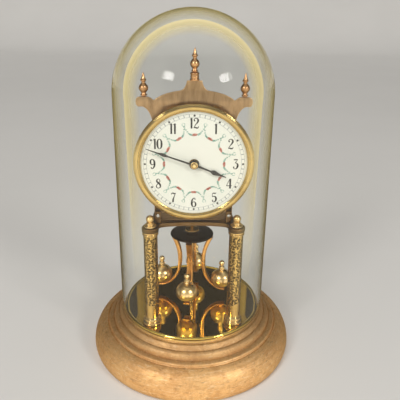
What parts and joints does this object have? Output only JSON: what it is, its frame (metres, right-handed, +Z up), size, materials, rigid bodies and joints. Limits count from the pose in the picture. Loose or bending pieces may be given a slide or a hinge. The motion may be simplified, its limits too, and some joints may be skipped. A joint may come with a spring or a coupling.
{
  "type": "anniversary clock",
  "caption": "Torsion pendulum mantel clock on a round turned brass base, with columns, a floral enamel dial, ball pendulum and a glass dome.",
  "frame": {"origin": "centre of the base's underside", "axes": "+Z up along the dome's axis; the dial faces -Y and +X is to the right of the dial"},
  "size_m": [0.2, 0.2, 0.326],
  "materials": {
    "aged_brass": "satin, mottled and worn turned brass",
    "polished_brass": "polished brass",
    "copper_brass": "warm copper-coloured brass",
    "steel": "bright steel",
    "black_steel": "black hands",
    "enamel": "white vitreous enamel on metal",
    "glass": "clear blown glass"
  },
  "bodies": {
    "frame": {"base_shell": "aged_brass", "base_plate": "polished_brass", "pendulum_cup": "polished_brass", "column_left": "polished_brass", "column_right": "polished_brass", "column_nut_left": "steel", "column_nut_right": "steel", "column_finial_left": "polished_brass", "column_finial_right": "polished_brass", "platform": "aged_brass", "bracket_left": "polished_brass", "bracket_right": "polished_brass", "front_plate": "copper_brass", "back_plate": "polished_brass", "pillar_1": "polished_brass", "pillar_2": "polished_brass", "pillar_3": "polished_brass", "pillar_4": "polished_brass", "finial_centre": "copper_brass", "finial_left": "copper_brass", "finial_right": "copper_brass", "dial": "enamel", "bezel": "polished_brass", "suspension_bracket": "polished_brass", "suspension_block_top": "polished_brass", "suspension_spring": "steel", "click_spring": "steel"},
    "minute": {"minute_arbor": "steel", "centre_wheel": "polished_brass", "cannon_pinion": "steel", "minute_hand": "black_steel", "hand_nut": "polished_brass"},
    "hour": {"hour_wheel": "polished_brass", "hour_hand": "black_steel"},
    "motion": {"minute_wheel": "polished_brass"},
    "barrel": {"barrel": "polished_brass", "mainspring": "steel"},
    "winding": {"winding_arbor": "steel", "ratchet_wheel": "steel"},
    "click": {"click": "steel"},
    "third": {"third_arbor": "steel", "third_wheel": "polished_brass"},
    "escape": {"escape_arbor": "steel", "escape_wheel": "polished_brass"},
    "anchor": {"anchor": "steel"},
    "fork": {"suspension_fork": "polished_brass"},
    "pendulum": {"suspension_block_bottom": "polished_brass", "pendulum_rod": "polished_brass", "pendulum_top_plate": "copper_brass", "pendulum_arm_1": "copper_brass", "pendulum_arm_2": "copper_brass", "pendulum_arm_3": "copper_brass", "pendulum_arm_4": "copper_brass", "pendulum_ball_1": "polished_brass", "pendulum_ball_2": "polished_brass", "pendulum_ball_3": "polished_brass", "pendulum_ball_4": "polished_brass"},
    "rating": {"rating_disc": "polished_brass"},
    "dome": {"glass_dome": "glass"}
  },
  "joints": [
    {"name": "pendulum_twist", "type": "hinge", "parent": "frame", "child": "pendulum", "pos_m": [0, 0.009, 0.1], "axis": [0, 0, 1], "range_deg": [-135, 135], "stiffness_Nm_per_rad": 0.000033},
    {"name": "fork_rock", "type": "hinge", "parent": "frame", "child": "fork", "pos_m": [0, 0.009, 0.247], "axis": [0, 0, 1], "range_deg": [-9.1, 9.1]},
    {"name": "anchor_rock", "type": "hinge", "parent": "frame", "child": "anchor", "pos_m": [0, -0.0114, 0.236], "axis": [0, 1, 0], "range_deg": [-4.6, 4.6]},
    {"name": "minute_turn", "type": "hinge", "parent": "frame", "child": "minute", "pos_m": [0, -0.0278, 0.203], "axis": [0, 1, 0], "continuous": true},
    {"name": "hour_turn", "type": "hinge", "parent": "frame", "child": "hour", "pos_m": [0, -0.035, 0.203], "axis": [0, 1, 0], "continuous": true},
    {"name": "motion_turn", "type": "hinge", "parent": "frame", "child": "motion", "pos_m": [-0.01, -0.033, 0.203], "axis": [0, 1, 0], "continuous": true},
    {"name": "barrel_turn", "type": "hinge", "parent": "frame", "child": "barrel", "pos_m": [0, -0.016, 0.181], "axis": [0, 1, 0], "continuous": true},
    {"name": "third_turn", "type": "hinge", "parent": "frame", "child": "third", "pos_m": [0.01154, -0.02, 0.21408], "axis": [0, 1, 0], "continuous": true},
    {"name": "escape_turn", "type": "hinge", "parent": "frame", "child": "escape", "pos_m": [0, -0.0114, 0.222], "axis": [0, 1, 0], "continuous": true},
    {"name": "winding_turn", "type": "hinge", "parent": "frame", "child": "winding", "pos_m": [0, 0.001, 0.181], "axis": [0, 1, 0], "continuous": true},
    {"name": "click_lift", "type": "hinge", "parent": "frame", "child": "click", "pos_m": [-0.014, 0.001, 0.186], "axis": [0, -1, 0], "range_deg": [0, 15]},
    {"name": "rating_turn", "type": "hinge", "parent": "pendulum", "child": "rating", "pos_m": [0, 0.009, 0.12], "axis": [0, 0, 1], "continuous": true},
    {"name": "dome_lift", "type": "slide", "parent": "frame", "child": "dome", "axis": [0, 0, 1], "range_m": [0, 0.3]}
  ],
  "couplings": [
    {"joint": "fork_rock", "follows": "pendulum_twist", "ratio": 0.066667},
    {"joint": "anchor_rock", "follows": "pendulum_twist", "ratio": 0.033939},
    {"joint": "hour_turn", "follows": "minute_turn", "ratio": 0.083333},
    {"joint": "motion_turn", "follows": "minute_turn", "ratio": -0.33333},
    {"joint": "barrel_turn", "follows": "minute_turn", "ratio": -0.22222},
    {"joint": "third_turn", "follows": "minute_turn", "ratio": -4},
    {"joint": "escape_turn", "follows": "minute_turn", "ratio": 16}
  ]
}
